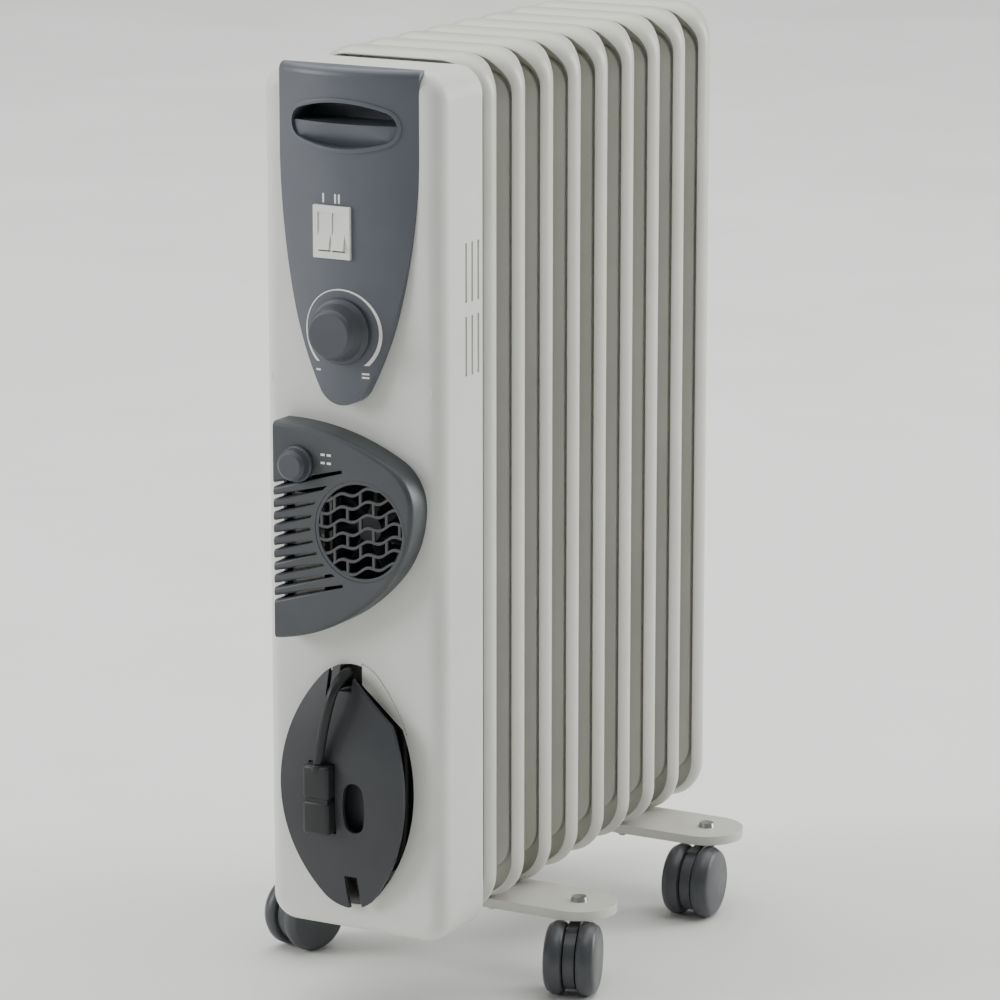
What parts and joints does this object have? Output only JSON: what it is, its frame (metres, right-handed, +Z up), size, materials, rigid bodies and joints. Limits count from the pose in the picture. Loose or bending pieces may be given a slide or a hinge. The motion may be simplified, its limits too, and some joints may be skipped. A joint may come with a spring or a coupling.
{
  "type": "oil filled radiator heater",
  "caption": "Upright finned oil heater on swivelling castors, with a control end holding rocker switches, a thermostat dial, a warm-air fan outlet and a cord reel.",
  "frame": {"origin": "on the floor, under the middle of the heater's bounding box, cord left out", "axes": "+X to the right seen from the control end, +Y from the control end to the last fin, +Z up"},
  "size_m": [0.2564, 0.4436, 0.6376],
  "materials": {
    "enamel": "satin baked cream enamel",
    "cream_abs": "fine satin moulding",
    "slate_abs": "satin slate moulding",
    "knob_abs": "satin",
    "ivory_plastic": "gloss",
    "zinc_steel": "bright zinc plate",
    "element_steel": "dull steel",
    "oil": "clear amber",
    "dark_moulding": "plain moulding",
    "castor_nylon": "satin moulded",
    "cord_rubber": "matte flexible sheath",
    "brass": "bright"
  },
  "bodies": {
    "heater": {"castor_stems": "zinc_steel", "control_panel": "slate_abs", "cord_coil": "cord_rubber", "cord_cup": "cream_abs", "cord_gland": "cord_rubber", "cord_plate": "slate_abs", "cover_screws": "zinc_steel", "element_flange": "zinc_steel", "fan_duct": "slate_abs", "fan_grille": "slate_abs", "fan_heating_coil": "element_steel", "fan_housing": "slate_abs", "fan_motor": "element_steel", "fan_selector_switch": "dark_moulding", "filler_plug": "zinc_steel", "fin_1": "enamel", "fin_2": "enamel", "fin_3": "enamel", "fin_4": "enamel", "fin_5": "enamel", "fin_6": "enamel", "fin_7": "enamel", "fin_8": "enamel", "fin_9": "enamel", "front_cover": "cream_abs", "front_foot": "enamel", "grip_cup": "slate_abs", "heating_elements": "element_steel", "heating_oil": "oil", "hub_end_caps": "enamel", "mains_cord": "cord_rubber", "mains_plug": "cord_rubber", "plug_pins": "brass", "rear_cover": "zinc_steel", "rear_foot": "enamel", "switch_housing": "ivory_plastic", "terminal_block": "dark_moulding", "thermal_cutout": "element_steel", "thermostat_body": "dark_moulding", "u_bolts": "zinc_steel", "wing_nuts": "zinc_steel"},
    "rocker_left": {"rocker_left": "ivory_plastic"},
    "rocker_right": {"rocker_right": "ivory_plastic"},
    "thermostat_dial": {"thermostat_knob": "knob_abs", "thermostat_spindle": "zinc_steel"},
    "fan_selector": {"fan_selector_knob": "knob_abs"},
    "fan_rotor": {"fan_impeller": "dark_moulding"},
    "castor_front_left": {"castor_front_left_hood": "castor_nylon"},
    "castor_front_left_wheel_pair": {"castor_front_left_wheels": "castor_nylon", "castor_front_left_axle": "zinc_steel"},
    "castor_front_right": {"castor_front_right_hood": "castor_nylon"},
    "castor_front_right_wheel_pair": {"castor_front_right_wheels": "castor_nylon", "castor_front_right_axle": "zinc_steel"},
    "castor_rear_left": {"castor_rear_left_hood": "castor_nylon"},
    "castor_rear_left_wheel_pair": {"castor_rear_left_wheels": "castor_nylon", "castor_rear_left_axle": "zinc_steel"},
    "castor_rear_right": {"castor_rear_right_hood": "castor_nylon"},
    "castor_rear_right_wheel_pair": {"castor_rear_right_wheels": "castor_nylon", "castor_rear_right_axle": "zinc_steel"}
  },
  "joints": [
    {"name": "rocker_left_press", "type": "hinge", "parent": "heater", "child": "rocker_left", "pos_m": [-0.0107, -0.2012, 0.529], "axis": [1, 0, 0], "range_deg": [0, 16]},
    {"name": "rocker_right_press", "type": "hinge", "parent": "heater", "child": "rocker_right", "pos_m": [-0.0001, -0.2012, 0.529], "axis": [1, 0, 0], "range_deg": [0, 16]},
    {"name": "thermostat_turn", "type": "hinge", "parent": "heater", "child": "thermostat_dial", "pos_m": [0, -0.2039, 0.465], "axis": [0, 1, 0], "range_deg": [0, 270]},
    {"name": "fan_selector_turn", "type": "hinge", "parent": "heater", "child": "fan_selector", "pos_m": [-0.0285, -0.2118, 0.377], "axis": [0, 1, 0], "range_deg": [0, 90]},
    {"name": "fan_spin", "type": "hinge", "parent": "heater", "child": "fan_rotor", "pos_m": [0.0179, -0.19, 0.3366], "axis": [0, 1, 0], "continuous": true},
    {"name": "castor_front_left_swivel", "type": "hinge", "parent": "heater", "child": "castor_front_left", "pos_m": [-0.098, -0.0582, 0.05], "axis": [0, 0, 1], "continuous": true},
    {"name": "castor_front_left_roll", "type": "hinge", "parent": "castor_front_left", "child": "castor_front_left_wheel_pair", "pos_m": [-0.10542, -0.08102, 0.025], "axis": [0.9511, -0.309, 0], "continuous": true},
    {"name": "castor_front_right_swivel", "type": "hinge", "parent": "heater", "child": "castor_front_right", "pos_m": [0.098, -0.0582, 0.05], "axis": [0, 0, 1], "continuous": true},
    {"name": "castor_front_right_roll", "type": "hinge", "parent": "castor_front_right", "child": "castor_front_right_wheel_pair", "pos_m": [0.10542, -0.08102, 0.025], "axis": [0.9511, 0.309, 0], "continuous": true},
    {"name": "castor_rear_left_swivel", "type": "hinge", "parent": "heater", "child": "castor_rear_left", "pos_m": [-0.098, 0.1368, 0.05], "axis": [0, 0, 1], "continuous": true},
    {"name": "castor_rear_left_roll", "type": "hinge", "parent": "castor_rear_left", "child": "castor_rear_left_wheel_pair", "pos_m": [-0.10051, 0.11293, 0.025], "axis": [0.9945, -0.1045, 0], "continuous": true},
    {"name": "castor_rear_right_swivel", "type": "hinge", "parent": "heater", "child": "castor_rear_right", "pos_m": [0.098, 0.1368, 0.05], "axis": [0, 0, 1], "continuous": true},
    {"name": "castor_rear_right_roll", "type": "hinge", "parent": "castor_rear_right", "child": "castor_rear_right_wheel_pair", "pos_m": [0.10051, 0.11293, 0.025], "axis": [0.9945, 0.1045, 0], "continuous": true}
  ]
}
